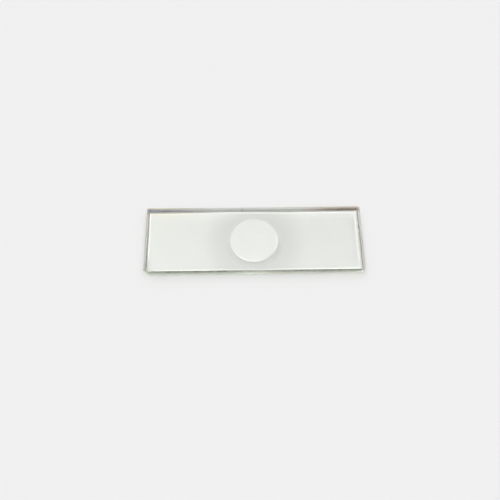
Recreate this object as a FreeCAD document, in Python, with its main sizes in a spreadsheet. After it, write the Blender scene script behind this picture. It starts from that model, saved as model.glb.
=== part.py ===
import FreeCAD, Part
import Sketcher
import enum
import math
import os

# Cavity microscope slide, cut and ground from one piece of thick plate glass.
#
# The blank is a bar whose section already has the bevels of its two long sides: broad ones on
# the far side and narrow ones on the near side. The bevels of the ends, the eased corners and
# a small nick are then taken off it. The flat across the near left corner has bevels of its
# own. Last, a round well with the form of a spherical cap is sunk into the top face, and
# polishing rounds its rim.
#
# Millimetres. The origin is the centre of the underside, +X runs along the slide,
# +Y points to the far long side and +Z is up.

DRIVING_SIZES = (
    # name, value, what it measures
    ("slide_length", 75.0, "length over both ends"),
    ("slide_width", 25.0, "width over both long sides"),
    ("slide_thickness", 3.0, "thickness of the plate glass"),
    ("near_bevel", 0.3, "leg of the 45 degree bevels of the near long side"),
    ("far_bevel", 1.25, "leg of the 45 degree bevels of the far long side"),
    ("left_bevel", 0.9, "leg of the 45 degree bevels of the left end"),
    ("right_bevel", 1.25, "leg of the 45 degree bevels of the right end"),
    ("clipped_corner", 1.3, "leg of the flat ground across the near left corner"),
    ("clip_bevel", 0.7, "leg of the 45 degree bevels of that flat"),
    ("near_corner_radius", 1.3, "radius of the near right corner"),
    ("far_corner_radius", 0.8, "radius of the far right corner"),
    ("well_diameter", 16.0, "diameter at which the well's sphere meets the top face"),
    ("well_depth", 1.6, "depth of the well at its centre"),
    ("well_shift_x", -0.1, "well centre from the middle of the length, towards the right"),
    ("well_shift_y", -0.9, "well centre from the middle of the width, towards the far side"),
    ("rim_radius", 1.2, "rounding of the well's rim"),
    ("nick_place", -4.3, "nick in the far side, from the middle of the length"),
    ("nick_radius", 0.25, "radius of the nick"),
    ("nick_depth", 0.2, "depth of the nick below the far side"),
)
SIZE = {name: value for name, value, meaning in DRIVING_SIZES}
SHEET = "Sizes"

# Sketcher's numbers for a sketch's own axes and for the points of an edge, which it counts
# from one. The start of the horizontal axis is the sketch's origin.
HORIZONTAL_AXIS, VERTICAL_AXIS = enum.IntEnum("SketchAxis", {"HORIZONTAL": -1, "VERTICAL": -2})
START, END, CENTRE = enum.IntEnum("EdgePoint", "START END CENTRE")
SKETCH_ORIGIN = (HORIZONTAL_AXIS, START)

TOLERANCE = 1e-6


def make_sheet(doc):
    """Put every driving size into a spreadsheet, one row each: its meaning and its value."""
    sheet = doc.addObject("Spreadsheet::Sheet", SHEET)
    for row, (name, value, meaning) in enumerate(DRIVING_SIZES, start=1):
        sheet.set("A%d" % row, meaning)
        sheet.set("B%d" % row, str(value))
        sheet.setAlias("B%d" % row, name)
    doc.recompute()


def sized(text):
    """Turn a formula of size names, such as {slide_length} / 2, into one that reads the sheet."""
    return text.format(**{name: "%s.%s" % (SHEET, name) for name in SIZE})


def add_sketch(body, name, plane_role):
    """Add a sketch that lies on one of the body's own origin planes."""
    plane = next(item for item in body.Origin.OriginFeatures if item.Role == plane_role)
    sketch = body.newObject("Sketcher::SketchObject", name)
    sketch.AttachmentSupport = [(plane, "")]
    sketch.MapMode = "FlatFace"
    return sketch


def relate(sketch, kind, *references):
    """Add one geometric constraint."""
    return sketch.addConstraint(Sketcher.Constraint(kind, *references))


def dimension(sketch, kind, references, value, formula):
    """Add one dimension and bind it to a formula of the sheet's sizes."""
    index = sketch.addConstraint(Sketcher.Constraint(kind, *references, value))
    sketch.setExpression("Constraints[%d]" % index, sized(formula))


def distance(sketch, along, first, second, formula):
    """Fix how far apart two points of the sketch are along its X or its Y."""
    gap = sketch.getPoint(*second) - sketch.getPoint(*first)
    value = gap.x if along == "X" else gap.y
    if value < 0:
        first, second = second, first
    dimension(sketch, "Distance" + along, first + second, abs(value), formula)


def add_outline(sketch, corners):
    """Draw a closed outline of straight edges. Edge i runs from corner i to the next corner."""
    points = [FreeCAD.Vector(x, y, 0) for x, y in corners]
    edges = []
    for start, end in zip(points, points[1:] + points[:1]):
        edges.append(sketch.addGeometry(Part.LineSegment(start, end)))
    for edge, following in zip(edges, edges[1:] + edges[:1]):
        relate(sketch, "Coincident", edge, END, following, START)
    return edges


def add_corner_triangle(sketch, corner, inward, leg, corner_formulas, leg_formula):
    """Draw the right-angled triangle that an equal-legged cut takes off a square corner.

    corner is where the square corner lies, inward says on which side of it the glass is
    along X and along Y, and corner_formulas give the corner's distance from the sketch's
    origin along X and Y, or None where it lies on the horizontal axis.
    """
    x, y = corner
    along_x = (x + inward[0] * leg, y)
    along_y = (x, y + inward[1] * leg)
    first_leg, _, second_leg = add_outline(sketch, (corner, along_x, along_y))
    relate(sketch, "Horizontal", first_leg)
    relate(sketch, "Vertical", second_leg)
    corner_point = (first_leg, START)
    distance(sketch, "X", SKETCH_ORIGIN, corner_point, corner_formulas[0])
    if corner_formulas[1] is None:
        relate(sketch, "PointOnObject", first_leg, START, HORIZONTAL_AXIS)
    else:
        distance(sketch, "Y", SKETCH_ORIGIN, corner_point, corner_formulas[1])
    distance(sketch, "X", corner_point, (first_leg, END), leg_formula)
    distance(sketch, "Y", corner_point, (second_leg, START), leg_formula)


def add_corner_spandrel(sketch, corner, inward, radius, corner_formulas, radius_formula):
    """Draw the patch between a square corner and the arc that rounds it."""
    x, y = corner
    centre = FreeCAD.Vector(x + inward[0] * radius, y + inward[1] * radius, 0)
    on_x_side = FreeCAD.Vector(centre.x, y, 0)
    on_y_side = FreeCAD.Vector(x, centre.y, 0)
    tip = FreeCAD.Vector(x, y, 0)
    first_leg = sketch.addGeometry(Part.LineSegment(on_x_side, tip))
    second_leg = sketch.addGeometry(Part.LineSegment(tip, on_y_side))
    angles = sorted((math.atan2(*reversed((on_y_side - centre)[:2])),
                     math.atan2(*reversed((on_x_side - centre)[:2]))))
    circle = Part.Circle(centre, FreeCAD.Vector(0, 0, 1), radius)
    arc = sketch.addGeometry(Part.ArcOfCircle(circle, *angles))
    arc_on_x_side, arc_on_y_side = START, END
    if not sketch.getPoint(arc, START).isEqual(on_x_side, TOLERANCE):
        arc_on_x_side, arc_on_y_side = END, START
    relate(sketch, "Coincident", first_leg, END, second_leg, START)
    relate(sketch, "Tangent", first_leg, START, arc, arc_on_x_side)
    relate(sketch, "Tangent", second_leg, END, arc, arc_on_y_side)
    relate(sketch, "Horizontal", first_leg)
    relate(sketch, "Vertical", second_leg)
    distance(sketch, "X", SKETCH_ORIGIN, (second_leg, START), corner_formulas[0])
    distance(sketch, "Y", SKETCH_ORIGIN, (second_leg, START), corner_formulas[1])
    dimension(sketch, "Radius", (arc,), radius, radius_formula)


def pad_blank(body):
    """Extrude the bar from its section: a rectangle whose four corners are the side bevels."""
    half_width = SIZE["slide_width"] / 2
    thickness = SIZE["slide_thickness"]
    near = SIZE["near_bevel"]
    far = SIZE["far_bevel"]
    section = add_sketch(body, "blank_section", "YZ_Plane")
    edges = add_outline(section, (
        (-half_width + near, 0),
        (half_width - far, 0),
        (half_width, far),
        (half_width, thickness - far),
        (half_width - far, thickness),
        (-half_width + near, thickness),
        (-half_width, thickness - near),
        (-half_width, near),
    ))
    base, far_low, far_side, far_high, top, near_high, near_side, near_low = edges
    for face in (base, top):
        relate(section, "Horizontal", face)
    for side in (far_side, near_side):
        relate(section, "Vertical", side)
        distance(section, "X", SKETCH_ORIGIN, (side, START), "{slide_width} / 2")
    relate(section, "PointOnObject", base, START, HORIZONTAL_AXIS)
    distance(section, "Y", (base, START), (top, START), "{slide_thickness}")
    bevels = ((far_low, "{far_bevel}"), (far_high, "{far_bevel}"),
              (near_low, "{near_bevel}"), (near_high, "{near_bevel}"))
    for bevel, leg_formula in bevels:
        for along in ("X", "Y"):
            distance(section, along, (bevel, START), (bevel, END), leg_formula)
    blank = body.newObject("PartDesign::Pad", "blank")
    blank.Profile = section
    blank.SideType = "Symmetric"
    blank.setExpression("Length", sized("{slide_length}"))


def cut_through(body, name, profile):
    """Cut a profile right through the glass, to both sides of the sketch's plane."""
    cut = body.newObject("PartDesign::Pocket", name)
    cut.Profile = profile
    cut.Type = "ThroughAll"
    cut.SideType = "Symmetric"


def cut_end_bevels(body):
    """Grind the top and bottom bevels of both ends in straight passes across the width."""
    half_length = SIZE["slide_length"] / 2
    profile = add_sketch(body, "end_bevel_profile", "XZ_Plane")
    for side, bevel in ((-1, "left_bevel"), (1, "right_bevel")):
        for height, inward_z, height_formula in ((0, 1, None),
                                                 (SIZE["slide_thickness"], -1, "{slide_thickness}")):
            add_corner_triangle(profile, (side * half_length, height), (-side, inward_z), SIZE[bevel],
                                ("{slide_length} / 2", height_formula), "{%s}" % bevel)
    cut_through(body, "end_bevels", profile)


def cut_corners(body):
    """Clip the near left corner and round the two right ones. The far left one stays square."""
    half_length = SIZE["slide_length"] / 2
    half_width = SIZE["slide_width"] / 2
    place = ("{slide_length} / 2", "{slide_width} / 2")
    profile = add_sketch(body, "corner_profile", "XY_Plane")
    add_corner_triangle(profile, (-half_length, -half_width), (1, 1), SIZE["clipped_corner"],
                        place, "{clipped_corner}")
    add_corner_spandrel(profile, (half_length, -half_width), (-1, 1), SIZE["near_corner_radius"],
                        place, "{near_corner_radius}")
    add_corner_spandrel(profile, (half_length, half_width), (-1, -1), SIZE["far_corner_radius"],
                        place, "{far_corner_radius}")
    cut_through(body, "eased_corners", profile)


def bevel_clipped_corner(body):
    """Grind the top and bottom bevels of the clipped corner's flat.

    The sketch stands upright on the corner's diagonal: its origin is where the square corner
    would be, and its X runs into the glass.
    """
    profile = add_sketch(body, "clip_bevel_profile", "XZ_Plane")
    upright = FreeCAD.Vector(0, 1, 0)
    profile.AttachmentOffset = FreeCAD.Placement(FreeCAD.Vector(), FreeCAD.Rotation(upright, 45))
    profile.setExpression("AttachmentOffset.Base.x", sized("-{slide_length} / 2"))
    profile.setExpression("AttachmentOffset.Base.z", sized("{slide_width} / 2"))
    flat_place = SIZE["clipped_corner"] / math.sqrt(2)
    for height, inward_z, height_formula in ((0, 1, None),
                                             (SIZE["slide_thickness"], -1, "{slide_thickness}")):
        add_corner_triangle(profile, (flat_place, height), (1, inward_z), SIZE["clip_bevel"],
                            ("{clipped_corner} / sqrt(2)", height_formula), "{clip_bevel}")
    cut_through(body, "clip_bevels", profile)


def cut_nick(body):
    """Take a small round nick out of the far long side."""
    radius = SIZE["nick_radius"]
    centre = FreeCAD.Vector(SIZE["nick_place"], SIZE["slide_width"] / 2 + radius - SIZE["nick_depth"], 0)
    profile = add_sketch(body, "nick_profile", "XY_Plane")
    circle = profile.addGeometry(Part.Circle(centre, FreeCAD.Vector(0, 0, 1), radius))
    dimension(profile, "Radius", (circle,), radius, "{nick_radius}")
    distance(profile, "X", SKETCH_ORIGIN, (circle, CENTRE), "abs({nick_place})")
    distance(profile, "Y", SKETCH_ORIGIN, (circle, CENTRE),
             "{slide_width} / 2 + {nick_radius} - {nick_depth}")
    cut_through(body, "side_nick", profile)


def sink_well(body):
    """Turn the well: a circular arc whose centre lies on the well's axis, swept once round it."""
    rim_radius = SIZE["well_diameter"] / 2
    depth = SIZE["well_depth"]
    thickness = SIZE["slide_thickness"]
    sphere_radius = (rim_radius ** 2 + depth ** 2) / (2 * depth)
    lowest = FreeCAD.Vector(0, thickness - depth, 0)
    top_centre = FreeCAD.Vector(0, thickness, 0)
    rim = FreeCAD.Vector(rim_radius, thickness, 0)
    sphere_centre = FreeCAD.Vector(0, thickness - depth + sphere_radius, 0)
    rim_direction = rim - sphere_centre

    profile = add_sketch(body, "well_profile", "XZ_Plane")
    profile.setExpression("AttachmentOffset.Base.x", sized("{well_shift_x}"))
    profile.setExpression("AttachmentOffset.Base.z", sized("-{well_shift_y}"))
    axis = profile.addGeometry(Part.LineSegment(lowest, top_centre))
    lid = profile.addGeometry(Part.LineSegment(top_centre, rim))
    circle = Part.Circle(sphere_centre, FreeCAD.Vector(0, 0, 1), sphere_radius)
    bowl = profile.addGeometry(Part.ArcOfCircle(
        circle, -math.pi / 2, math.atan2(rim_direction.y, rim_direction.x)))
    relate(profile, "Coincident", axis, END, lid, START)
    relate(profile, "Coincident", lid, END, bowl, END)
    relate(profile, "Coincident", bowl, START, axis, START)
    relate(profile, "PointOnObject", axis, START, VERTICAL_AXIS)
    relate(profile, "PointOnObject", bowl, CENTRE, VERTICAL_AXIS)
    relate(profile, "Vertical", axis)
    relate(profile, "Horizontal", lid)
    distance(profile, "Y", SKETCH_ORIGIN, (lid, START), "{slide_thickness}")
    distance(profile, "Y", (axis, START), (axis, END), "{well_depth}")
    distance(profile, "X", (lid, START), (lid, END), "{well_diameter} / 2")

    well = body.newObject("PartDesign::Groove", "well")
    well.Profile = profile
    well.ReferenceAxis = (profile, ["V_Axis"])
    well.Angle = 360


def round_rim(body):
    """Round the edge where the well meets the top face, as its polishing leaves it."""
    well = body.Tip
    top_face = max(well.Shape.Faces, key=lambda face: face.CenterOfMass.z)
    rim = [wire for wire in top_face.Wires if not wire.isSame(top_face.OuterWire)][0]
    rim_names = []
    for number, edge in enumerate(well.Shape.Edges, start=1):
        if any(edge.isSame(piece) for piece in rim.Edges):
            rim_names.append("Edge%d" % number)
    rounding = body.newObject("PartDesign::Fillet", "rounded_rim")
    rounding.Base = (well, rim_names)
    rounding.setExpression("Radius", sized("{rim_radius}"))


def checked_recompute(doc):
    """Recompute the document and stop if any object in it has failed."""
    doc.recompute()
    for item in doc.Objects:
        if "Invalid" in item.State or "Error" in item.State:
            raise RuntimeError("%s failed: %s" % (item.Name, item.State))


def build_slide(doc):
    """Build the slide feature by feature. Every feature after the blank has to take glass off."""
    body = doc.addObject("PartDesign::Body", "glass_slide")
    body.Label = "glass_slide"
    pad_blank(body)
    checked_recompute(doc)
    for shape_glass in (cut_end_bevels, cut_corners, bevel_clipped_corner, cut_nick, sink_well,
                        round_rim):
        volume_before = body.Shape.Volume
        shape_glass(body)
        checked_recompute(doc)
        if not body.Shape.Volume < volume_before - TOLERANCE:
            raise RuntimeError("%s took nothing off" % shape_glass.__name__)
    return body


def export_body(body):
    """Check the finished solid and write it to the STEP file that bears its name."""
    shape = body.Shape
    if shape.isNull() or not shape.isValid() or len(shape.Solids) != 1:
        raise RuntimeError("%s is not one valid solid" % body.Label)
    os.makedirs("parts", exist_ok=True)
    shape.exportStep("parts/%s.step" % body.Label)
    box = shape.BoundBox
    print("%s: %.2f x %.2f x %.2f mm, %.1f mm3" % (
        body.Label, box.XLength, box.YLength, box.ZLength, shape.Volume))


document = FreeCAD.newDocument("cavity_slide")
make_sheet(document)
export_body(build_slide(document))
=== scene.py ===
import math
from collections import namedtuple

import bmesh
import bpy
import numpy as np
from bpy.props import FloatProperty, FloatVectorProperty, PointerProperty
from bpy.types import Operator, Panel, PropertyGroup
from mathutils import Matrix, Vector


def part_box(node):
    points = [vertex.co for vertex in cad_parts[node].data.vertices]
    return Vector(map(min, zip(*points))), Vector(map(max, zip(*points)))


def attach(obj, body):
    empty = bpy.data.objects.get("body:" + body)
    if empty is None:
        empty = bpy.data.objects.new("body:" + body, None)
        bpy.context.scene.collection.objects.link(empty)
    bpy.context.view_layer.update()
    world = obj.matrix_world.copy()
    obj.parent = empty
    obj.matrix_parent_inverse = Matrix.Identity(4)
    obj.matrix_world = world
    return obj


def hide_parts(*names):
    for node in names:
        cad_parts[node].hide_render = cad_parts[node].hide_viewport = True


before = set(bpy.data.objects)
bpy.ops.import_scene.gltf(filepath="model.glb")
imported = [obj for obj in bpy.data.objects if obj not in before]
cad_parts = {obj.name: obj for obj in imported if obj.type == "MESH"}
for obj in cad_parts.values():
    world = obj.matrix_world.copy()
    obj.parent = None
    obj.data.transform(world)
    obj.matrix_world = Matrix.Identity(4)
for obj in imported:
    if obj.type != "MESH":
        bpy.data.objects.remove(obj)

bl_info = {
    "name": "Cavity Microscope Slide",
    "version": (1, 0, 0),
    "blender": (4, 5, 0),
    "location": "3D View > Sidebar > Slide",
    "description": "A thick glass microscope slide with ground bevels and a polished well",
    "category": "Add Mesh",
}

MM = 0.001
NODE = "glass_slide"
PIECE = "glass_plate"
ROOT_BODY = "root"
SLOT = "clear_glass"
LOW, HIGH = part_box(NODE)
THICKNESS = HIGH.z - LOW.z
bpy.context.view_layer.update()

SIDES = ("near", "far", "left", "right")      # the order of every property's four values
BEVEL_SLOPE = math.radians(45)
ROUND_SETBACK = math.tan(BEVEL_SLOPE / 2)     # how far a rounding starts from the edge, in radii
MOST_LIGHT = 2.5                              # the share of light where the passing attribute is 1
REFRACTIVE_INDEX = 1.52                       # of common glass


# ---------------------------------------------------------------- sizes and colours

# What the properties of one kind have in common.
LENGTH = {"min": 0.0, "unit": "LENGTH"}
SHARE = {"min": 0.0, "max": 1.0, "subtype": "FACTOR"}
ANGLE = {"unit": "ROTATION"}
COLOUR = {"size": 3, "min": 0.0, "max": 1.0, "subtype": "COLOR"}
SIDE_WIDTHS = {"size": 4, "min": 0.05 * MM, "unit": "LENGTH"}
SIDE_SHARES = {"size": 4, "min": 0.0, "max": 1.0}
SIDE_LIGHTS = {"size": 4, "min": 0.0}


class SlideSizes(PropertyGroup):
    """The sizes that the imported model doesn't state in its box."""

    bevels: FloatVectorProperty(
        name="Bevels", description="Legs of the bevels of the near, far, left and right side",
        default=(0.3 * MM, 1.25 * MM, 0.9 * MM, 1.25 * MM), **SIDE_WIDTHS)
    clipped_corner: FloatProperty(
        name="Clipped corner", description="Leg of the flat across the near left corner",
        default=1.3 * MM, **LENGTH)
    clip_bevel: FloatProperty(
        name="Clip bevel", description="Leg of the bevels of the clipped corner's flat",
        default=0.7 * MM, **LENGTH)
    near_corner_radius: FloatProperty(
        name="Near corner radius", description="Radius of the near right corner",
        default=1.3 * MM, **LENGTH)
    far_corner_radius: FloatProperty(
        name="Far corner radius", description="Radius of the far right corner",
        default=0.8 * MM, **LENGTH)
    edge_softness: FloatProperty(
        name="Edge softness", description="Radius left on every edge by the finest wheel",
        default=0.12 * MM, min=0.01 * MM, unit="LENGTH")
    wander: FloatProperty(
        name="Wander", description="How far the ground bevels wander in and out along a side",
        default=0.06 * MM, **LENGTH)
    well_diameter: FloatProperty(
        name="Well diameter", description="Diameter at which the well's sphere meets the top face",
        default=16.0 * MM, **LENGTH)
    well_depth: FloatProperty(
        name="Well depth", description="Depth of the well at its centre",
        default=1.6 * MM, **LENGTH)
    well_place: FloatVectorProperty(
        name="Well place", description="Centre of the well on the top face",
        default=(-0.1 * MM, -0.9 * MM), size=2, unit="LENGTH")
    rim_radius: FloatProperty(
        name="Rim radius", description="Rounding of the well's rim",
        default=1.2 * MM, **LENGTH)
    nick_place: FloatProperty(
        name="Nick place", description="Nick in the far side, from the middle of the length",
        default=-4.3 * MM, unit="LENGTH")
    nick_radius: FloatProperty(
        name="Nick radius", description="Radius of the nick",
        default=0.25 * MM, **LENGTH)
    nick_depth: FloatProperty(
        name="Nick depth", description="Depth of the nick below the far side",
        default=0.2 * MM, **LENGTH)


class GlassFinish(PropertyGroup):
    """Colour, roughness and dullness of the glass.

    Dullness is the way from white glass to the dull colour. It is partly the grey of ground glass and
    partly painted shade, which darkens the edges where shadows and bent rays make dark bands.
    """

    tint: FloatVectorProperty(
        name="Tint", description="Colour that the depth of the glass leaves of white light",
        default=(0.875, 0.95, 0.80), **COLOUR)
    tint_strength: FloatProperty(
        name="Tint strength", description="How fast the tint builds up, for a metre of glass",
        default=40.0, min=0.0)
    # Painted shade: a near-black colour, darker than ground glass is under any lamp.
    dull_and_shade_colour: FloatVectorProperty(
        name="Dull colour", description="Colour of the dullest ground surface",
        default=(0.05, 0.055, 0.045), **COLOUR)

    well_roughness: FloatProperty(
        name="Well roughness", description="Roughness that polishing left in the well",
        default=0.3, **SHARE)
    rim_roughness: FloatProperty(
        name="Rim roughness", description="Roughness of the well's rounded rim",
        default=0.2, **SHARE)
    bevel_roughness: FloatVectorProperty(
        name="Bevel roughness", description="Roughness of the near, far, left and right upper bevels",
        default=(0.6, 0.8, 0.6, 0.6), **SIDE_SHARES)
    foot_roughness: FloatVectorProperty(
        name="Foot roughness", description="Roughness of the near, far, left and right lower bevels",
        default=(0.6, 0.1, 0.6, 0.6), **SIDE_SHARES)
    side_roughness: FloatProperty(
        name="Side roughness", description="Roughness of the ground sides",
        default=0.7, **SHARE)

    # Dullness of the bevels and sides: partly the grey of ground glass, partly painted shade for the
    # dark bands that shadows and bent rays give at the edges.
    arris_dull_and_shade: FloatVectorProperty(
        name="Arris dullness",
        description="Dullness at the upper edge of the near, far, left and right upper bevels",
        default=(1.0, 0.0, 1.0, 1.0), **SIDE_SHARES)
    arris_widths: FloatVectorProperty(
        name="Arris widths", description="Widths over which that dullness fades on the four bevels",
        default=(0.28 * MM, 0.28 * MM, 0.28 * MM, 0.6 * MM), **SIDE_WIDTHS)
    shoulder_dull_and_shade: FloatVectorProperty(
        name="Shoulder dullness",
        description="Dullness at the lower edge of the near, far, left and right upper bevels",
        default=(0.9, 0.0, 0.0, 0.0), **SIDE_SHARES)
    side_dull_and_shade: FloatProperty(
        name="Side dullness", description="Dullness of the sides",
        default=0.1, **SHARE)
    foot_dull_and_shade: FloatVectorProperty(
        name="Foot dullness",
        description="Dullness at the lower edge of the near, far, left and right lower bevels",
        default=(0.5, 0.6, 0.8, 0.2), **SIDE_SHARES)
    foot_top_dull_and_shade: FloatVectorProperty(
        name="Foot top dullness",
        description="Dullness at the upper edge of the near, far, left and right lower bevels",
        default=(0.5, 0.15, 0.8, 0.2), **SIDE_SHARES)
    # Painted shade: the far lower bevel darkens towards its ends.
    far_end_shade: FloatVectorProperty(
        name="Far end dullness",
        description="Dullness that the far lower bevel gains towards its left and its right end",
        default=(0.25, 0.38), size=2, min=0.0, max=1.0)
    nick_dullness: FloatProperty(
        name="Nick dullness", description="Dullness of the chipped glass beside the nick",
        default=0.3, **SHARE)
    # Painted shade: a darker arc on the top face beside the well's rim, strongest on its near side.
    rim_arc_shade: FloatProperty(
        name="Pad dullness", description="Dullness of the arc that the polishing pad leaves",
        default=0.2, **SHARE)
    rim_arc_reach: FloatProperty(
        name="Pad reach", description="Width of the arc that the polishing pad leaves beside the rim",
        default=2.2 * MM, min=0.1 * MM, unit="LENGTH")

    # The near side is darker in its middle, in front of the well, and its arris less dark there.
    middle_darkening: FloatProperty(
        name="Worn patch", description="Dullness that the near side gains where the slide is held",
        default=0.35, **SHARE)
    middle_arris_share: FloatProperty(
        name="Worn arris", description="Share of the arris's dullness that is worn off in that patch",
        default=0.3, **SHARE)
    middle_length: FloatProperty(
        name="Worn length", description="Half length of the worn patch",
        default=7.0 * MM, min=1.0 * MM, unit="LENGTH")
    # The near side's dullness and painted shade fade towards its ends.
    end_dull_and_shade: FloatProperty(
        name="End dullness", description="Share of its dullness that the near side keeps at its ends",
        default=0.4, **SHARE)
    fade_length: FloatProperty(
        name="Fade length", description="Length over which the near side fades towards its ends",
        default=1.6 * MM, min=0.1 * MM, unit="LENGTH")

    # Painted glints: colours put on the bevels for the tint and the split light that they show, which
    # stay put under other light.
    near_glint: FloatVectorProperty(
        name="Near glint", description="Tint of the near side and its bevels",
        default=(0.97, 1.0, 0.86), **COLOUR)
    far_glint: FloatVectorProperty(
        name="Far glint", description="Tint of the far side and its bevels",
        default=(1.0, 0.985, 0.975), **COLOUR)
    end_glint: FloatVectorProperty(
        name="End glint", description="Tint of both ends and their bevels",
        default=(1.0, 0.955, 0.96), **COLOUR)
    cream_glint: FloatVectorProperty(
        name="Cream glint", description="Colour that the far upper bevel splits off at its left end",
        default=(1.0, 0.93, 0.5), **COLOUR)
    violet_glint: FloatVectorProperty(
        name="Violet glint", description="Colour that the far lower bevel splits off at its left end",
        default=(0.72, 0.66, 1.0), **COLOUR)
    warm_glint: FloatVectorProperty(
        name="Warm glint", description="Colour that the far lower bevel splits off at its right end",
        default=(1.0, 0.66, 0.46), **COLOUR)
    glint_length: FloatProperty(
        name="Glint length", description="Length over which those colours fade from the far corners",
        default=15.0 * MM, min=1.0 * MM, unit="LENGTH")
    amber_glint: FloatVectorProperty(
        name="Amber glint", description="Colour of the far upper bevel right at the far left corner",
        default=(1.0, 0.6, 0.3), **COLOUR)
    blue_glint: FloatVectorProperty(
        name="Blue glint", description="Colour of the far lower bevel right at the far left corner",
        default=(0.45, 0.65, 1.0), **COLOUR)
    speck_length: FloatProperty(
        name="Speck length", description="Length over which amber and blue fade from that corner",
        default=2.2 * MM, min=1.0 * MM, unit="LENGTH")


class FloorLight(PropertyGroup):
    """Light that passes the glass on its way to the floor, as a share of the room's light.

    It is over 1 where the bevels or the well's rim gather light. The base has narrow bands beside its
    edge and two thin lines near the rim, on which more or less light passes. These bands and lines are
    painted light and painted shade, set for this light, in place of the bright lines and shadows that
    bent rays throw.
    """

    face_passing: FloatProperty(
        name="Light through the top", description="Light that passes the top face",
        default=0.93, **SHARE)
    well_passing: FloatProperty(
        name="Light through the well", description="Light that passes the well",
        default=1.28, min=0.0)
    base_passing: FloatProperty(
        name="Light through the base", description="Light that passes the middle of the base",
        default=0.33, **SHARE)
    base_fall: FloatVectorProperty(
        name="Fall of that light",
        description="How much less light passes the base at the right end and at the far side",
        default=(0.11, 0.1), size=2)
    foot_passing: FloatVectorProperty(
        name="Light under the edge",
        description="Light that passes the near, far, left and right lower bevels at their upper edge",
        default=(0.05, 0.8, 0.05, 0.05), **SIDE_LIGHTS)
    foot_edge_passing: FloatVectorProperty(
        name="Light at the foot",
        description="Light that passes the near, far, left and right lower bevels at their lower edge",
        default=(0.3, 0.6, 0.1, 0.1), **SIDE_LIGHTS)

    strips: FloatVectorProperty(
        name="Outer strips", description="Widths of the base's near, far, left and right outer strips",
        default=(0.1 * MM, 0.5 * MM, 0.15 * MM, 0.45 * MM), **SIDE_WIDTHS)
    strip_passing: FloatVectorProperty(
        name="Light on the outer strips",
        description="Light that passes the base's near, far, left and right outer strips",
        default=(1.5, 0.0, 0.1, 0.1), **SIDE_LIGHTS)
    # Painted shade: a darker colour on the base's outer strips.
    strip_shade: FloatVectorProperty(
        name="Strip dullness",
        description="Dullness of the base's near, far, left and right outer strips",
        default=(0.0, 0.45, 0.0, 0.0), **SIDE_SHARES)
    margins: FloatVectorProperty(
        name="Lit margins",
        description="Widths of the margins inside those strips, on which the bevels throw more light",
        default=(1.3 * MM, 0.4 * MM, 0.35 * MM, 0.3 * MM), **SIDE_WIDTHS)
    margin_passing: FloatVectorProperty(
        name="Light on the margins",
        description="Light that passes the base's near, far, left and right lit margins",
        default=(1.4, 1.15, 2.0, 1.35), **SIDE_LIGHTS)
    inner_strips: FloatVectorProperty(
        name="Inner strips", description="Widths of the dimmer strips inside the lit margins",
        default=(0.7 * MM, 0.5 * MM, 1.4 * MM, 2.4 * MM), **SIDE_WIDTHS)
    inner_passing: FloatVectorProperty(
        name="Light on the inner strips",
        description="Light that passes the base's near, far, left and right inner strips",
        default=(0.0, 0.0, 0.1, 0.0), **SIDE_LIGHTS)

    sway: FloatProperty(
        name="Far strip's sway", description="How much narrower the far outer strip is at its lull",
        default=0.35 * MM, **LENGTH)
    lull_place: FloatProperty(
        name="Lull place", description="Place of that lull, from the middle of the length",
        default=-6.5 * MM, unit="LENGTH")
    lull_length: FloatProperty(
        name="Lull length", description="Half length of the lull",
        default=11.0 * MM, min=1.0 * MM, unit="LENGTH")
    well_shadow: FloatProperty(
        name="Well shadow", description="Share of the light that the well keeps off the near bands",
        default=0.5, **SHARE)
    clip_shadow: FloatVectorProperty(
        name="Clip shadow",
        description="Distances from the clipped corner between which the bands gain their light",
        default=(4.0 * MM, 7.0 * MM), size=2, min=0.1 * MM, unit="LENGTH")
    # Painted shade: a darker colour on the base beside the clipped corner.
    clip_shade: FloatProperty(
        name="Clip dullness", description="Dullness of the base beside the clipped corner",
        default=0.1, **SHARE)

    line_radii: FloatVectorProperty(
        name="Rim line radii",
        description="Radii of the rings on the base that bound the rim's dark line and its bright one",
        default=(9.1 * MM, 8.6 * MM, 8.34 * MM, 8.3 * MM, 8.22 * MM, 8.16 * MM), size=6, unit="LENGTH")
    line_shift: FloatProperty(
        name="Rim line shift", description="How far the lines' centre lies beyond the well's",
        default=0.9 * MM, unit="LENGTH")
    line_turns: FloatVectorProperty(
        name="Rim line turns",
        description="Directions from the well's centre in which the bright line's three parts lie",
        default=(math.radians(236), math.radians(280), math.radians(350)), size=3, **ANGLE)
    # Painted light: more light passes the base along the rim's bright line.
    rim_line: FloatVectorProperty(
        name="Bright rim line",
        description="Light that passes the base in the three parts of the rim's bright line",
        default=(1.55, 1.37, 2.0), size=3, min=0.0)
    # The dark line and the arc beside the rim are painted shade.
    shade_turn: FloatProperty(
        name="Rim shade turn",
        description="Direction in which the dark line and the polishing pad's arc are strongest",
        default=math.radians(275), **ANGLE)
    rim_shade: FloatProperty(
        name="Dark rim line", description="Light that passes the base on the rim's dark line",
        default=0.0, min=0.0)
    # Painted shade: a darker colour on the base along the rim's dark line.
    shade_dullness: FloatProperty(
        name="Rim shade dullness", description="Dullness of the base on the rim's dark line",
        default=0.17, **SHARE)


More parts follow.
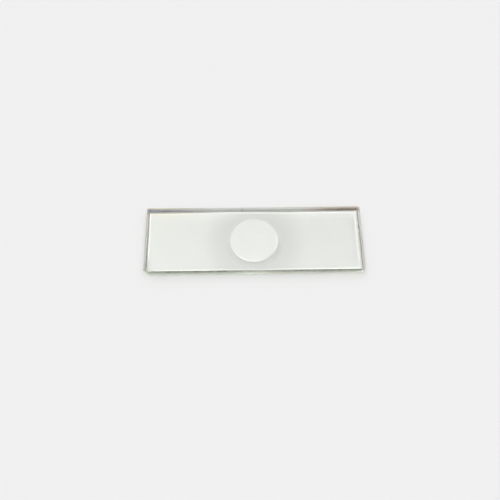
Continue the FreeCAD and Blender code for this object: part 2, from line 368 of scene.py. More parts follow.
class StageSettings(PropertyGroup):
    """Floor, light and camera."""

    floor_colour: FloatVectorProperty(
        name="Floor colour", description="Colour of the pale floor",
        default=(0.82, 0.82, 0.82), **COLOUR)
    floor_size: FloatProperty(
        name="Floor size", description="Length of the square floor's side",
        default=6.0, min=0.1, unit="LENGTH")
    floor_gap: FloatProperty(
        name="Floor gap", description="Film of air between the glass and the floor",
        default=0.03 * MM, **LENGTH)
    room_light: FloatProperty(
        name="Room light", description="Brightness of the room all round",
        default=0.57, min=0.0)
    window_light: FloatProperty(
        name="Window light", description="Brightness of the broad window of light",
        default=1.7, min=0.0)
    window_height: FloatProperty(
        name="Window height", description="Height of the window's middle above the far side",
        default=math.radians(60), **ANGLE)
    window_reach: FloatProperty(
        name="Window reach", description="Angle from the window's middle to that of its soft edge",
        default=math.radians(45), **ANGLE)
    window_softness: FloatProperty(
        name="Window softness", description="Half width of the window's soft edge",
        default=math.radians(15), **ANGLE)
    card_strength: FloatProperty(
        name="Dark card", description="Share of the light that the dark card takes away",
        default=1.0, **SHARE)
    card_height: FloatProperty(
        name="Card height", description="Height of the dark card above the far side",
        default=math.radians(64.1), **ANGLE)
    card_turn: FloatProperty(
        name="Card turn", description="Turn of both cards to the right of the far side",
        default=math.radians(2.9), **ANGLE)
    card_reach: FloatProperty(
        name="Card reach", description="Angle from the dark card's middle to its edge",
        default=math.radians(5.3), **ANGLE)
    upper_strength: FloatProperty(
        name="Upper card", description="Share of the light that the upper card takes away",
        default=0.8, **SHARE)
    upper_height: FloatProperty(
        name="Upper card height", description="Height of the upper card above the far side",
        default=math.radians(77), **ANGLE)
    upper_reach: FloatProperty(
        name="Upper card reach", description="Angle from the upper card's middle to its edge",
        default=math.radians(8), **ANGLE)
    camera_place: FloatVectorProperty(
        name="Camera place", description="Where the camera stands",
        default=(-4.54 * MM, -92.96 * MM, 190.49 * MM), size=3, unit="LENGTH")
    camera_turn: FloatProperty(
        name="Camera turn", description="Turn of the camera to the right of the +Y direction",
        default=math.radians(1.924), **ANGLE)
    camera_dip: FloatProperty(
        name="Camera dip", description="How steeply the camera looks down",
        default=math.radians(64.777), **ANGLE)
    camera_roll: FloatProperty(
        name="Camera roll", description="Roll of the camera about its own view",
        default=math.radians(1.036), **ANGLE)
    camera_lens: FloatProperty(
        name="Camera lens", description="Focal length in millimetres",
        default=43.909, min=1.0)


# ---------------------------------------------------------------- form of the glass

DEPTH_STEP = 0.03 * MM      # between the rings of a bevel
COARSENESS = 5              # one of so many is kept where no bevel has its lower edge
ROUNDING_STEPS = 5          # rings of the rounding between a face and its bevels
BOWL_STEPS = 44             # rings of the well's bowl
ROLL_STEPS = 9              # rings of its rolled rim
RIM_STEP = 0.05 * MM        # from the rim's last ring to the first one on the flat face
BAND_STEP = 0.08 * MM       # over which the finish of a flat face changes at a ring
SIDE_STEP = 0.1 * MM        # over which the finish of a bevel turns into the side's
WAVE_FADE = 0.05            # share of a side over which its wander dies out at each end
WELD = 1e-7                 # points nearer than this are one point
SHARP_ANGLE = math.radians(25)


def blend(start, end, share):
    """The value that lies a share of the way from start to end."""
    return start + (end - start) * share


def near_end(distance, length):
    """1 up to half the length away from an end, then an even fall to 0 at one and a half."""
    return np.clip(1.5 - distance / length, 0.0, 1.0)


def rounded_bevel_inset(depth, leg, radius):
    """Inset of a 45 degree bevel at a depth below the face, with both of its edges rounded.

    The bevel's plane has the inset leg - depth. An arc of the radius joins it to the face
    and another joins it to the side, each tangent to both of its neighbours: the first has
    its centre one radius under the face, the second one radius inside the side.
    """
    setback = radius * ROUND_SETBACK
    reach = radius * math.sin(BEVEL_SLOPE)
    sagitta = radius - radius * math.cos(BEVEL_SLOPE)
    plane = leg - depth
    upper = leg + setback - np.sqrt(np.maximum(radius ** 2 - (radius - depth) ** 2, 0.0))
    below = np.clip(leg + setback - depth, 0.0, reach)
    lower = radius - np.sqrt(radius ** 2 - below ** 2)
    inset = np.where(depth < sagitta, upper, plane)
    return np.where(depth > leg + setback - reach, lower, inset)


def corner_run(kind, size, inset_a, inset_b, clip_inset, steps):
    """Points round a corner at one or more levels, as their distances from sides a and b.

    Side a arrives at the corner and side b leaves it. A clipped corner is the line where
    both distances add up to size and to root two times the inset of the flat's own bevel.
    A rounded one is the arc of radius size about the point that lies one radius from both
    sides. Where a bevel's inset has already passed the clip or the arc, all the points fall
    on the sharp corner of the two insets.
    """
    share = np.linspace(0.0, 1.0, steps)
    inset_a = np.asarray(inset_a)[:, None]
    inset_b = np.asarray(inset_b)[:, None]
    if kind == "clip":
        reach = size + math.sqrt(2) * np.asarray(clip_inset)[:, None]
        from_a = blend(inset_a, reach - inset_b, share)
        from_b = reach - from_a
    else:
        first = np.arccos(np.clip(1.0 - inset_a / size, 0.0, 1.0))
        last = np.arcsin(np.clip(1.0 - inset_b / size, 0.0, 1.0))
        angle = first + np.maximum(last - first, 0.0) * share
        from_a = size - size * np.cos(angle)
        from_b = size - size * np.sin(angle)
    return np.maximum(from_a, inset_a), np.maximum(from_b, inset_b)


def slow_wave(share, rng, waves):
    """A gentle wave along a side that dies out at both ends, between about -1 and 1.

    It is a sum of sines with random starts, times a window that rises smoothly from 0 to 1
    at the start of the side and falls again at its end.
    """
    total = np.zeros_like(share)
    for count in waves:
        total += np.sin(2 * math.pi * (count * share + rng.random())) * rng.uniform(0.5, 1.0)
    window = np.clip(np.minimum(share, 1 - share) / WAVE_FADE, 0.0, 1.0)
    return total / len(waves) * window * window * (3 - 2 * window)


# A side of the plan: its direction of travel, its length, the point where it ends, and the
# kind and size of its corner there.
Side = namedtuple("Side", "name travel length end kind size")


class Plan:
    """The slide's plan: its four sides and corners, walked against the clock from above."""

    POINT_STEP = 0.4 * MM            # between the points of a side
    CORNER_STEPS = 9                 # points of a corner
    NICK_REACH = 2.5                 # half length of the closer points at the nick, in its radii
    NICK_STEPS = 41                  # how many there are
    WAVES = (1.3, 2.9, 5.3, 8.7)     # lengths of the bevels' wander, in waves to a side

    def __init__(self, sizes):
        self.sizes = sizes
        length = HIGH.x - LOW.x
        width = HIGH.y - LOW.y
        self.sides = (
            Side("right", (0, 1), width, (HIGH.x, HIGH.y), "round", sizes.far_corner_radius),
            Side("far", (-1, 0), length, (LOW.x, HIGH.y), "round", sizes.edge_softness),
            Side("left", (0, -1), width, (LOW.x, LOW.y), "clip", sizes.clipped_corner),
            Side("near", (1, 0), length, (HIGH.x, LOW.y), "round", sizes.near_corner_radius),
        )
        self.following = (*self.sides[1:], self.sides[0])
        self.legs = dict(zip(SIDES, sizes.bevels))
        self.shares = {}
        for side in self.sides:
            count = int(side.length / self.POINT_STEP)
            self.shares[side.name] = np.linspace(0.0, 1.0, count + 1)[1:-1]
        nick = (HIGH.x - sizes.nick_place) / length
        reach = self.NICK_REACH * sizes.nick_radius / length
        close = np.linspace(nick - reach, nick + reach, self.NICK_STEPS)
        wide = self.shares["far"]
        wide = wide[np.abs(wide - nick) > reach]
        self.shares["far"] = np.sort(np.concatenate((wide, close)))
        self.far_x = HIGH.x - length * self.shares["far"]

    def spread(self, values):
        """One value for every point round the plan. A corner takes that of the side after it."""
        values = dict(zip(SIDES, values))
        parts = []
        for side, following in zip(self.sides, self.following):
            parts.append(np.full(len(self.shares[side.name]), values[side.name]))
            parts.append(np.full(self.CORNER_STEPS, values[following.name]))
        return np.concatenate(parts)

    def ring(self, side_insets, corner_insets):
        """Closed rings of points, one for each level.

        side_insets gives each side's inset at each level and point, and corner_insets each
        side's inset at each level where it meets its corners. A point of a side lies its
        share of the way between the ends of the two corner runs beside it.
        """
        runs = []
        for side, following in zip(self.sides, self.following):
            runs.append(corner_run(side.kind, side.size, corner_insets[side.name],
                                   corner_insets[following.name], corner_insets["clip"],
                                   self.CORNER_STEPS))
        parts = []
        for side, start_run, end_run in zip(self.sides, (runs[-1], *runs), runs):
            travel = np.array(side.travel, dtype=float)
            inward = np.array((-travel[1], travel[0]))
            start = start_run[0][:, -1:]
            end = end_run[1][:, :1]
            to_go = side.length - (start + (side.length - start - end) * self.shares[side.name])
            inset = side_insets[side.name]
            if side.name == "far":
                inset = np.maximum(inset, self.nick_inset(side.end[0] + to_go))
            parts.append(side.end - to_go[..., None] * travel + inset[..., None] * inward)
            parts.append(side.end - end_run[1][..., None] * travel + end_run[0][..., None] * inward)
        return np.concatenate(parts, axis=1)

    def nick_inset(self, x):
        """Inset of the round nick: an arc whose centre lies outside the far side."""
        radius = self.sizes.nick_radius
        off = np.clip(np.abs(x - self.sizes.nick_place), 0.0, radius)
        return self.sizes.nick_depth - radius + np.sqrt(radius ** 2 - off ** 2)

    def edge_rings(self, depths, seed):
        """Rings at depths below a face, over the bevels and down to the middle of the side.

        Each bevel's leg wanders along its side by a slow wave, so the ring in the face does
        too. The corners keep their legs.
        """
        rng = np.random.default_rng(seed)
        soft = self.sizes.edge_softness
        corner_insets = {"clip": rounded_bevel_inset(depths, self.sizes.clip_bevel, soft)}
        side_insets = {}
        for side in self.sides:
            leg = self.legs[side.name]
            wave = slow_wave(self.shares[side.name], rng, self.WAVES) * self.sizes.wander
            corner_insets[side.name] = rounded_bevel_inset(depths, leg, soft)
            side_insets[side.name] = rounded_bevel_inset(depths[:, None], leg + wave, soft)
        return self.ring(side_insets, corner_insets)

    def flat_ring(self, extra, sway=0.0):
        """A ring on a flat face, further in than the bevels by the four sides' extra widths.

        Along the far side it lies nearer to the bevel again, by the sway at each point.
        """
        extra = dict(zip(SIDES, extra))
        setback = self.sizes.edge_softness * ROUND_SETBACK
        corner_insets = {"clip": np.array([self.sizes.clip_bevel + setback + min(extra.values())])}
        side_insets = {}
        for name, leg in self.legs.items():
            inset = np.array([leg + setback + extra[name]])
            corner_insets[name] = inset
            side_insets[name] = np.repeat(inset[:, None], len(self.shares[name]), axis=1)
        side_insets["far"] -= sway
        return self.ring(side_insets, corner_insets)[0]


def bevel_depths(plan, sizes):
    """Depths of the rings of one bevel, from the face to the middle of the side.

    They follow the rounding at the face, then an even ladder of depths. All of its rungs
    are kept where some bevel's lower edge may lie, and every fifth one elsewhere.
    """
    soft, wander = sizes.edge_softness, sizes.wander
    legs = np.array((*plan.legs.values(), sizes.clip_bevel))
    rounding = soft * (1 - np.cos(np.linspace(0.0, BEVEL_SLOPE, ROUNDING_STEPS)))
    ladder = np.arange(rounding[-1] + DEPTH_STEP, legs.max() + wander + soft, DEPTH_STEP)
    at_edge = np.abs(ladder[:, None] - legs).min(axis=1) < wander + soft / 2 + DEPTH_STEP
    coarse = np.arange(len(ladder)) % COARSENESS == COARSENESS - 1
    ladder = ladder[at_edge | coarse]
    side = np.linspace(ladder[-1], THICKNESS / 2, 3)[1:]
    return np.concatenate((rounding, ladder, side))


def well_profile(sizes):
    """Radius, depth and share of the rim's finish for the well's rings, from its centre out.

    The bowl is a cap of the sphere through the rim's circle and the lowest point. A circle
    that rolls under the top face and touches the sphere from the glass's side rounds the rim.
    The finish turns from the bowl's to the rim's over the first third of that rounding.
    """
    rim = sizes.well_diameter / 2
    sphere = (rim ** 2 + sizes.well_depth ** 2) / (2 * sizes.well_depth)
    centre_height = sphere - sizes.well_depth
    rounding = sizes.rim_radius
    roll_height = centre_height + rounding
    roll_place = math.sqrt((sphere + rounding) ** 2 - roll_height ** 2)
    slope = math.atan2(roll_place, roll_height)
    bowl = np.linspace(0.0, slope, BOWL_STEPS + 1)[1:]
    roll = np.linspace(slope, 0.0, ROLL_STEPS + 1)[1:]
    radius = np.concatenate((sphere * np.sin(bowl), roll_place - rounding * np.sin(roll)))
    depth = np.concatenate((sphere * np.cos(bowl) - centre_height,
                            rounding - rounding * np.cos(roll)))
    along_roll = np.linspace(0.0, 1.0, ROLL_STEPS + 2)[1:-1]
    rim_share = np.concatenate((np.zeros(BOWL_STEPS), np.minimum(along_roll * 3, 1.0)))
    return radius, depth, rim_share


class Surface:
    """The slide's surface as a stack of rings, each with one point for every point of the plan.

    The rings run from the well's centre over the top face and the edge to the middle of the
    base. Each point has its roughness, its dullness with painted shade, the light that passes it
    and its painted glint colour.
    """

    # The arc of painted shade beside the rim: shares of its reach from the rim, and of its shade there.
    RIM_ARC_STEPS = ((0.0, 0.0), (0.1, 1.0), (0.5, 1.0), (1.0, 0.0))
    SHADE_SPREAD = 0.7          # power of the cosine that the dark line and the arc of painted shade follow
    LINE_SPREAD = 12            # power of the cosine that each part of the bright line follows
    FOOT_CHANGE = (0.4, 0.6)    # shares of a lower bevel between which its dullness changes

    def __init__(self, sizes, finish, light):
        self.sizes = sizes
        self.finish = finish
        self.light = light
        self.plan = Plan(sizes)
        self.depths = bevel_depths(self.plan, sizes)
        self.upper = self.plan.edge_rings(self.depths, seed=11)
        self.lower = self.plan.edge_rings(self.depths, seed=23)
        self.outline = self.upper[-1]
        self.legs = self.plan.spread(sizes.bevels)
        self.rings = []
        self.finishes = []

        # A point of a round ring has the direction that its share of the outline gives it.
        steps = np.linalg.norm(np.roll(self.outline, -1, axis=0) - self.outline, axis=1)
        share = np.concatenate(([0.0], np.cumsum(steps)[:-1])) / steps.sum()
        self.turn = math.atan2(*reversed(self.outline[0])) + 2 * math.pi * share
        self.centre = np.array(sizes.well_place)
        self.shaded = np.clip(np.cos(self.turn - light.shade_turn), 0.0, 1.0) ** self.SHADE_SPREAD

        # These are 1 on one side and 0 on the others. The near side is darker in its middle, in front
        # of the well, and its arris is less dark there.
        self.near_side = self.plan.spread((1.0, 0.0, 0.0, 0.0))
        self.far_side = self.plan.spread((0.0, 1.0, 0.0, 0.0))
        self.near_middle = self.near_side * np.exp(-(self.outline[:, 0] / finish.middle_length) ** 2)
        self.near_middle_darkness = finish.middle_darkening * self.near_middle

        self.add_well()
        self.work_out_dull_and_shade()
        self.add_edge(*self.painted_glints())
        self.add_bands()
        self.add_rim_lines()

    def add(self, points, height, roughness, dullness_and_shade, passing, tint=(1.0, 1.0, 1.0)):
        """Add the ring through some points at a height, with its finish: roughness, dullness with
        painted shade, light that passes, and painted glint colour.
        """
        self.rings.append(np.column_stack((points, np.full(len(points), height))))
        finish = np.empty((len(points), 6))
        finish[:, 0] = roughness
        finish[:, 1] = dullness_and_shade
        finish[:, 2] = passing / MOST_LIGHT
        finish[:, 3:] = tint
        self.finishes.append(finish)

    def circle(self, centre, radius):
        """Points of a round ring: centre plus radius times the unit vector of each direction."""
        return centre + radius * np.column_stack((np.cos(self.turn), np.sin(self.turn)))

    def through_base(self, points):
        """Light that passes the base at some points: it falls evenly to the right and the far side."""
        return self.light.base_passing - points / (HIGH.x, HIGH.y) @ np.array(self.light.base_fall)

    def add_well(self):
        """The well, the arc of painted shade beside its rim, and the top face's edge."""
        finish, light = self.finish, self.light
        radii, depths, rim_shares = well_profile(self.sizes)
        for radius, depth, rim_share in zip(radii, depths, rim_shares):
            roughness = blend(finish.well_roughness, finish.rim_roughness, rim_share)
            self.add(self.circle(self.centre, radius), HIGH.z - depth, roughness, 0.0,
                     light.well_passing)
        for way, share in self.RIM_ARC_STEPS:
            circle = self.circle(self.centre, radii[-1] + RIM_STEP + way * finish.rim_arc_reach)
            self.add(circle, HIGH.z, 0.0, finish.rim_arc_shade * share * self.shaded,
                     light.face_passing)
        self.add(self.plan.flat_ring((BAND_STEP,) * 4), HIGH.z, 0.0, 0.0, light.face_passing)

    def far_ends(self, length):
        """How near each point of the far side is to its left and to its right end."""
        x = self.outline[:, 0]
        return (self.far_side * near_end(x - LOW.x, length),
                self.far_side * near_end(HIGH.x - x, length))

    def work_out_dull_and_shade(self):
        """Dullness at the edges of the bevels, for every point round the plan.

        The near side loses some towards its ends and is less dark at its arris in its middle. The far
        lower bevel gains painted shade towards its ends, and the whole far side gains dullness at the
        nick. Much of this dullness is painted shade for the dark bands at the edges.
        """
        finish, sizes, spread = self.finish, self.sizes, self.plan.spread
        x = self.outline[:, 0]
        from_end = np.minimum(x - LOW.x, HIGH.x - x)
        fading = self.near_side * (1.0 - finish.end_dull_and_shade) * near_end(from_end, finish.fade_length)
        kept = 1.0 - fading
        from_nick = (x - sizes.nick_place) / sizes.nick_radius
        chip = self.far_side * finish.nick_dullness * np.exp(-from_nick ** 2)
        at_left, at_right = self.far_ends(finish.glint_length)
        # Painted shade that the far lower bevel gains towards its ends.
        gain = at_left * finish.far_end_shade[0] + at_right * finish.far_end_shade[1]
        middle_arris_kept = 1.0 - finish.middle_arris_share * self.near_middle
        self.arris = spread(finish.arris_dull_and_shade) * middle_arris_kept * kept + chip
        self.shoulder = spread(finish.shoulder_dull_and_shade) * kept + chip
        self.foot = spread(finish.foot_dull_and_shade) * kept + gain + chip
        self.foot_top = spread(finish.foot_top_dull_and_shade) + gain + chip

    def painted_glints(self):
        """The painted glint colours of the upper and the lower bevels for every point round the plan.

        Each side has its own painted tint. Towards the far corners, the far bevels split the light,
        which is painted here as colour: cream above and violet below at the left end, a warm tone
        below at the right one. Right at the left corner they turn to amber and blue.
        """
        finish = self.finish
        own = (finish.near_glint, finish.far_glint, finish.end_glint, finish.end_glint)
        sides = np.column_stack([self.plan.spread(part) for part in zip(*own)])
        at_left, at_right = [share[:, None] for share in self.far_ends(finish.glint_length)]
        speck = self.far_ends(finish.speck_length)[0][:, None]
        upper = blend(sides, np.array(finish.cream_glint), at_left)
        upper = blend(upper, np.array(finish.amber_glint), speck)
        lower = blend(sides, np.array(finish.violet_glint), at_left)
        lower = blend(lower, np.array(finish.warm_glint), at_right)
        lower = blend(lower, np.array(finish.blue_glint), speck)
        return upper, lower

    def side_share(self, depth):
        """0 on a bevel and 1 on the side, with an even rise over the bevel's last SIDE_STEP."""
        return np.clip((depth - self.legs) / SIDE_STEP + 1.0, 0.0, 1.0)

    def side_dull_and_shade(self, depth):
        """Dullness and painted shade of the side at a depth: the shoulder's, fading to the side's own.
        """
        way = np.clip((depth - self.legs) / (THICKNESS - 2 * self.legs), 0.0, 1.0)
        return blend(self.shoulder, self.finish.side_dull_and_shade + self.near_middle_darkness, way)

    def add_edge(self, upper_glint, lower_glint):
        """The upper bevels and the upper half of the sides, then the lower ones.

        An upper bevel's dullness and painted shade turn from its arris's to its shoulder's over the
        arris's width. A lower one's change halfway up, and its light changes all the way up.
        """
        finish, spread = self.finish, self.plan.spread
        roughness = spread(finish.bevel_roughness)
        arris_widths = spread(finish.arris_widths)
        for points, depth in zip(self.upper, self.depths):
            side = self.side_share(depth)
            bevel = blend(self.arris, self.shoulder, np.clip(depth / arris_widths, 0.0, 1.0))
            self.add(points, HIGH.z - depth, blend(roughness, finish.side_roughness, side),
                     blend(bevel, self.side_dull_and_shade(depth), side), 1.0, upper_glint)

        roughness = spread(finish.foot_roughness)
        foot_edge = spread(self.light.foot_edge_passing)
        foot_passing = spread(self.light.foot_passing)
        first, last = self.FOOT_CHANGE
        for points, depth in zip(self.lower[-2::-1], self.depths[-2::-1]):
            side = self.side_share(depth)
            height = depth / self.legs
            way = np.clip((height - first) / (last - first), 0.0, 1.0)
            bevel = blend(self.foot, self.foot_top, way)
            passing = blend(foot_edge, foot_passing, np.clip(height, 0.0, 1.0))
            self.add(points, LOW.z + depth, blend(roughness, finish.side_roughness, side),
                     blend(bevel, self.side_dull_and_shade(THICKNESS - depth), side),
                     blend(passing, 1.0, side), lower_glint)

    def add_bands(self):
        """The base's outer strips, lit margins and inner strips, and the middle's first ring.

        Each strip or margin has two rings, half a BAND_STEP inside its edges. The inner strip
        has one, is dimmest there and fades inwards. The clipped corner puts painted shade on the
        bands beside it and keeps the light off them, and distances along the length count double
        there. The outer strips carry painted shade too. The well keeps some light off the bands in
        the middle of the near side.
        """
        light, plan = self.light, self.plan
        from_clip = np.hypot(2 * (self.outline[:, 0] - LOW.x), self.outline[:, 1] - LOW.y)
        dark_end, lit_end = light.clip_shadow
        lit = np.clip((from_clip - dark_end) / (lit_end - dark_end), 0.0, 1.0)
        corner_shade = light.clip_shade * (1.0 - lit)
        lit = lit * (1.0 - light.well_shadow * self.near_middle)
        sway = light.sway * np.exp(-((plan.far_x - light.lull_place) / light.lull_length) ** 2)
        place = np.full(4, BAND_STEP / 2)
        for widths, passing, dullness_and_shade, start_sway in (
                (light.strips, light.strip_passing, light.strip_shade, 0.0),
                (light.margins, light.margin_passing, (0.0,) * 4, sway)):
            following = place + np.array(widths)
            first, last = plan.flat_ring(place, start_sway), plan.flat_ring(following - BAND_STEP, sway)
            for ring in (first, last):
                self.add(ring, LOW.z, 0.0, plan.spread(dullness_and_shade) + corner_shade,
                         plan.spread(passing) * lit)
            place = following
        self.add(plan.flat_ring(place, sway), LOW.z, 0.0, corner_shade,
                 plan.spread(light.inner_passing))
        middle = plan.flat_ring(place + np.array(light.inner_strips))
        self.add(middle, LOW.z, 0.0, 0.0, self.through_base(middle))

    def add_rim_lines(self):
        """The two thin lines that the well's rim throws on the base, first the dark one.

        They are painted light and shade: more light passes the bright line, and the dark one lets less
        through and has a darker colour. They lie on the near side of the well, a little further towards
        the far side than the rim itself, because that is how a ray bends in the glass.
        """
        light = self.light
        lobes = np.clip(np.cos(self.turn[:, None] - np.array(light.line_turns)), 0.0, 1.0)
        bright = lobes ** self.LINE_SPREAD @ (np.array(light.rim_line) - light.base_passing)
        dark = (light.rim_shade - light.base_passing) * self.shaded
        dull = light.shade_dullness * self.shaded
        steps = ((0.0, 0.0), (dark, dull), (dark, dull), (bright, 0.0), (bright, 0.0), (0.0, 0.0))
        for radius, (change, dullness_and_shade) in zip(light.line_radii, steps):
            circle = self.circle(self.centre + (0.0, light.line_shift), radius)
            self.add(circle, LOW.z, 0.0, dullness_and_shade, self.through_base(circle) + change)


def grid_faces(levels, points, first_pole, last_pole):
    """Faces of a closed grid: a fan at each pole and four-sided faces in between."""
    here = np.arange(points)
    beside = np.roll(here, -1)
    first_fan = np.column_stack((np.full(points, first_pole), here, beside))
    starts = (np.arange(levels - 1) * points)[:, None]
    quads = np.stack((starts + here, starts + points + here,
                      starts + points + beside, starts + beside), axis=-1).reshape(-1, 4)
    last = (levels - 1) * points
    last_fan = np.column_stack((last + here, np.full(points, last_pole), last + beside))
    return first_fan.tolist() + quads.tolist() + last_fan.tolist()


def make_slide_mesh(sizes, finish, light):
    """The slide's closed surface as a mesh, with its finishes as attributes of the points."""
    surface = Surface(sizes, finish, light)
    rings = np.array(surface.rings)
    finishes = np.array(surface.finishes)
    levels, points = rings.shape[:2]
    centre_x, centre_y = sizes.well_place
    poles = ((centre_x, centre_y, HIGH.z - sizes.well_depth),
             (centre_x, centre_y + light.line_shift, LOW.z))
    vertices = np.concatenate((rings.reshape(-1, 3), poles))
    faces = grid_faces(levels, points, levels * points, levels * points + 1)
    mesh = bpy.data.meshes.new(PIECE)
    mesh.from_pydata(vertices.tolist(), [], faces)
    for index, name in enumerate(("roughness", "dullness_and_shade", "passing")):
        at_poles = (finishes[0, 0, index], finishes[-1, 0, index])
        values = np.concatenate((finishes[:, :, index].ravel(), at_poles)).astype(np.float32)
        mesh.attributes.new(name, "FLOAT", "POINT").data.foreach_set("value", values)
    glints = np.ones((len(vertices), 4), dtype=np.float32)
    glints[:levels * points, :3] = finishes[:, :, 3:].reshape(-1, 3)
    mesh.attributes.new("glint", "FLOAT_COLOR", "POINT").data.foreach_set("color", glints.ravel())
    solid = bmesh.new()
    solid.from_mesh(mesh)
    bmesh.ops.remove_doubles(solid, verts=solid.verts, dist=WELD)
    bmesh.ops.dissolve_degenerate(solid, edges=solid.edges, dist=WELD)
    solid.to_mesh(mesh)
    solid.free()
    mesh.shade_smooth()
    mesh.set_sharp_from_angle(angle=SHARP_ANGLE)
    mesh.validate()
    return mesh


# ---------------------------------------------------------------- materials


class Value:
    """A number that changes over a surface. Arithmetic on it adds Math nodes."""

    def __init__(self, nodes, socket):
        self.nodes = nodes
        self.socket = socket

    def math(self, operation, *others):
        """A Math node that has this value first and the others after it."""
        operands = dict(enumerate((self, *others)))
        return self.nodes.value("ShaderNodeMath", 0, {"operation": operation}, operands)

    def __add__(self, other):
        return self.math("ADD", other)

    __radd__ = __add__

    def __rsub__(self, other):
        return self * -1.0 + other

    def __mul__(self, other):
        return self.math("MULTIPLY", other)

    __rmul__ = __mul__

    def smoothstep(self, low, high):
        """0 up to low, 1 from high on, and a smooth rise between them."""
        return self.nodes.value("ShaderNodeMapRange", "Result", {"interpolation_type": "SMOOTHSTEP"},
                                {"Value": self, "From Min": low, "From Max": high})


class Nodes:
    """Builds a node tree."""

    def __init__(self, tree):
        self.tree = tree
        tree.nodes.clear()

    def add(self, kind, settings=None, inputs=None):
        """Add a node, apply its settings, then fill or link its input sockets."""
        node = self.tree.nodes.new(kind)
        for name, setting in (settings or {}).items():
            setattr(node, name, setting)
        for socket, source in (inputs or {}).items():
            if isinstance(source, Value):
                source = source.socket
            if isinstance(source, bpy.types.NodeSocket):
                self.tree.links.new(source, node.inputs[socket])
            else:
                node.inputs[socket].default_value = source
        return node

    def value(self, kind, output, settings=None, inputs=None):
        """Add a node and return one of its outputs as a number to compute with."""
        return Value(self, self.add(kind, settings, inputs).outputs[output])


def glass_material(finish):
    """Clear glass whose roughness, dullness with painted shade, and painted glint colours are
    attributes of the mesh.

    The grinding is uneven, so roughness and dullness vary a little by clouds about a
    millimetre wide. A ray on its way to the light passes straight through, weakened or
    strengthened by the passing attribute, and every other ray meets the real glass.
    """
    material = bpy.data.materials.new(SLOT)
    material.use_nodes = True
    nodes = Nodes(material.node_tree)
    place = nodes.add("ShaderNodeTexCoord").outputs["Object"]
    roughness = nodes.value("ShaderNodeAttribute", "Fac", {"attribute_name": "roughness"})
    dullness_and_shade = nodes.value("ShaderNodeAttribute", "Fac", {"attribute_name": "dullness_and_shade"})
    passing = nodes.value("ShaderNodeAttribute", "Fac", {"attribute_name": "passing"})
    to_light = nodes.value("ShaderNodeLightPath", "Is Shadow Ray")
    cloud = nodes.value("ShaderNodeTexNoise", "Fac", None,
                        {"Vector": place, "Scale": 900.0, "Detail": 3.0})
    # Painted shade and ground grey: white glass turns towards the dull colour by the dullness
    # attribute.
    colour = nodes.add("ShaderNodeMix", {"data_type": "RGBA"}, {
        "Factor": dullness_and_shade * (0.75 + 0.5 * cloud),
        "A": (1.0, 1.0, 1.0, 1.0),
        "B": (*finish.dull_and_shade_colour, 1.0),
    })
    # Painted glints: the glint attribute multiplies the colour by the painted colours of split light.
    glint = nodes.add("ShaderNodeAttribute", {"attribute_name": "glint"})
    tinted = nodes.add("ShaderNodeMix", {"data_type": "RGBA", "blend_type": "MULTIPLY"}, {
        "Factor": 1.0,
        "A": colour.outputs["Result"],
        "B": glint.outputs["Color"],
    })
    glass = nodes.add("ShaderNodeBsdfPrincipled", None, {
        "Base Color": tinted.outputs["Result"],
        "Roughness": roughness * (0.85 + 0.3 * cloud),
        "IOR": REFRACTIVE_INDEX,
        "Transmission Weight": 1.0,
    })
    clear = nodes.add("ShaderNodeBsdfTransparent", None, {
        "Color": (MOST_LIGHT, MOST_LIGHT, MOST_LIGHT, 1.0),
    })
    weakened = nodes.add("ShaderNodeMixShader", None, {
        0: to_light * passing,
        1: glass.outputs[0],
        2: clear.outputs[0],
    })
    surface = nodes.add("ShaderNodeMixShader", None, {
        0: to_light,
        1: glass.outputs[0],
        2: weakened.outputs[0],
    })
    depth = nodes.add("ShaderNodeVolumeAbsorption", None, {
        "Color": (*finish.tint, 1.0),
        "Density": finish.tint_strength,
    })
    nodes.add("ShaderNodeOutputMaterial", None, {
        "Surface": surface.outputs[0],
        "Volume": depth.outputs[0],
    })
    return material


def floor_material(stage):
    """Matt pale paper."""
    material = bpy.data.materials.new("pale_floor")
    material.use_nodes = True
    nodes = Nodes(material.node_tree)
    paper = nodes.add("ShaderNodeBsdfPrincipled", None, {
        "Base Color": (*stage.floor_colour, 1.0),
        "Roughness": 1.0,
        "Specular IOR Level": 0.0,
    })
    nodes.add("ShaderNodeOutputMaterial", None, {"Surface": paper.outputs[0]})
    return material


# ---------------------------------------------------------------- stage


def lay_floor(scene, stage):
    """A square floor, one film of air below the slide."""
    half = stage.floor_size / 2
    height = LOW.z - stage.floor_gap
    corners = [(half * x, half * y, height) for x, y in ((-1, -1), (1, -1), (1, 1), (-1, 1))]
    mesh = bpy.data.meshes.new("floor")
    mesh.from_pydata(corners, [], [(0, 1, 2, 3)])
    mesh.materials.append(floor_material(stage))
    floor = bpy.data.objects.new("floor", mesh)
    scene.collection.objects.link(floor)


def facing(nodes, ray, height, turn):
    """Cosine of the angle between a ray and a direction at a height above the far side."""
    level = math.cos(height)
    direction = (math.sin(turn) * level, math.cos(turn) * level, math.sin(height))
    return nodes.value("ShaderNodeVectorMath", "Value", {"operation": "DOT_PRODUCT"},
                       {0: ray, 1: direction})


def light_room(scene, stage):
    """A soft room of light with a broad brighter window and two soft dark cards in front of it."""
    world = bpy.data.worlds.new("studio")
    world.use_nodes = True
    scene.world = world
    nodes = Nodes(world.node_tree)
    ray = nodes.add("ShaderNodeTexCoord").outputs["Generated"]
    window = facing(nodes, ray, stage.window_height, 0.0).smoothstep(
        math.cos(stage.window_reach + stage.window_softness),
        math.cos(stage.window_reach - stage.window_softness))
    card = facing(nodes, ray, stage.card_height, stage.card_turn).smoothstep(
        math.cos(stage.card_reach), 1.0)
    upper = facing(nodes, ray, stage.upper_height, stage.card_turn).smoothstep(
        math.cos(stage.upper_reach), 1.0)
    light = blend(stage.room_light, stage.window_light, window)
    light = light * (1.0 - card * stage.card_strength) * (1.0 - upper * stage.upper_strength)
    background = nodes.add("ShaderNodeBackground", None, {
        "Color": (1.0, 1.0, 1.0, 1.0),
        "Strength": light,
    })
    nodes.add("ShaderNodeOutputWorld", None, {"Surface": background.outputs[0]})


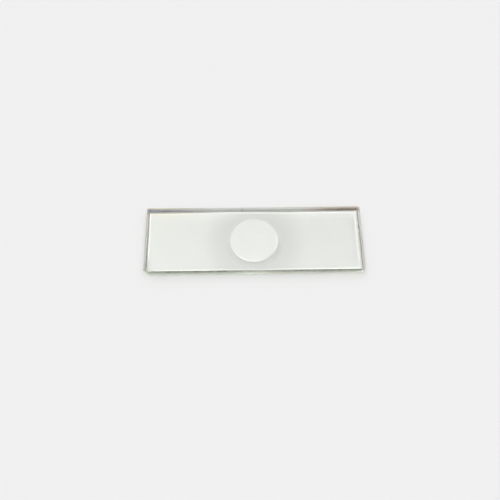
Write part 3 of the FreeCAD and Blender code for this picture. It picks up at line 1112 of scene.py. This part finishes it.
def place_camera(scene, stage):
    """Stand the camera at its place and turn, dip and roll it."""
    turn, dip, roll = stage.camera_turn, stage.camera_dip, stage.camera_roll
    ahead = Vector((math.sin(turn) * math.cos(dip), math.cos(turn) * math.cos(dip), -math.sin(dip)))
    level_right = Vector((math.cos(turn), -math.sin(turn), 0.0))
    level_up = level_right.cross(ahead)
    right = level_right * math.cos(roll) + level_up * math.sin(roll)
    up = level_up * math.cos(roll) - level_right * math.sin(roll)
    data = bpy.data.cameras.new("camera")
    data.lens = stage.camera_lens
    data.sensor_width = 36.0      # millimetres, like the lens
    data.clip_start = 1.0 * MM
    camera = bpy.data.objects.new("camera", data)
    axes = Matrix((right, up, -ahead)).transposed()
    camera.matrix_world = Matrix.Translation(stage.camera_place) @ axes.to_4x4()
    scene.collection.objects.link(camera)
    scene.camera = camera


# ---------------------------------------------------------------- operators


class SLIDE_OT_glass(Operator):
    """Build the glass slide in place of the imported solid"""

    bl_idname = "slide.glass"
    bl_label = "Glass Slide"

    def execute(self, context):
        scene = context.scene
        mesh = make_slide_mesh(scene.slide_sizes, scene.slide_finish, scene.slide_light)
        mesh.materials.append(glass_material(scene.slide_finish))
        piece = bpy.data.objects.new(PIECE, mesh)
        scene.collection.objects.link(piece)
        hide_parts(NODE)
        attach(piece, ROOT_BODY)
        return {"FINISHED"}


class SLIDE_OT_stage(Operator):
    """Lay the pale floor and set up the light and the camera"""

    bl_idname = "slide.stage"
    bl_label = "Floor, Light and Camera"

    def execute(self, context):
        scene = context.scene
        lay_floor(scene, scene.slide_stage)
        light_room(scene, scene.slide_stage)
        place_camera(scene, scene.slide_stage)
        scene.view_settings.view_transform = "Standard"
        return {"FINISHED"}


class SLIDE_PT_panel(Panel):
    """The slide's sizes, finish, light and stage"""

    bl_label = "Cavity Slide"
    bl_idname = "SLIDE_PT_panel"
    bl_space_type = "VIEW_3D"
    bl_region_type = "UI"
    bl_category = "Slide"

    def draw(self, context):
        for setting in SETTINGS:
            group = getattr(context.scene, setting)
            box = self.layout.box()
            for name in group.__annotations__:
                box.prop(group, name)
        for operator in OPERATORS:
            self.layout.operator(operator.bl_idname)


SETTINGS = {
    "slide_sizes": SlideSizes,
    "slide_finish": GlassFinish,
    "slide_light": FloorLight,
    "slide_stage": StageSettings,
}
OPERATORS = (SLIDE_OT_glass, SLIDE_OT_stage)
CLASSES = (*SETTINGS.values(), *OPERATORS, SLIDE_PT_panel)


def register():
    for item in CLASSES:
        bpy.utils.register_class(item)
    for setting, group in SETTINGS.items():
        setattr(bpy.types.Scene, setting, PointerProperty(type=group))


def unregister():
    for setting in SETTINGS:
        delattr(bpy.types.Scene, setting)
    for item in reversed(CLASSES):
        bpy.utils.unregister_class(item)


def main():
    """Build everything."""
    register()
    bpy.ops.slide.glass()
    bpy.ops.slide.stage()
    bpy.context.view_layer.update()


if __name__ == "__main__":
    main()
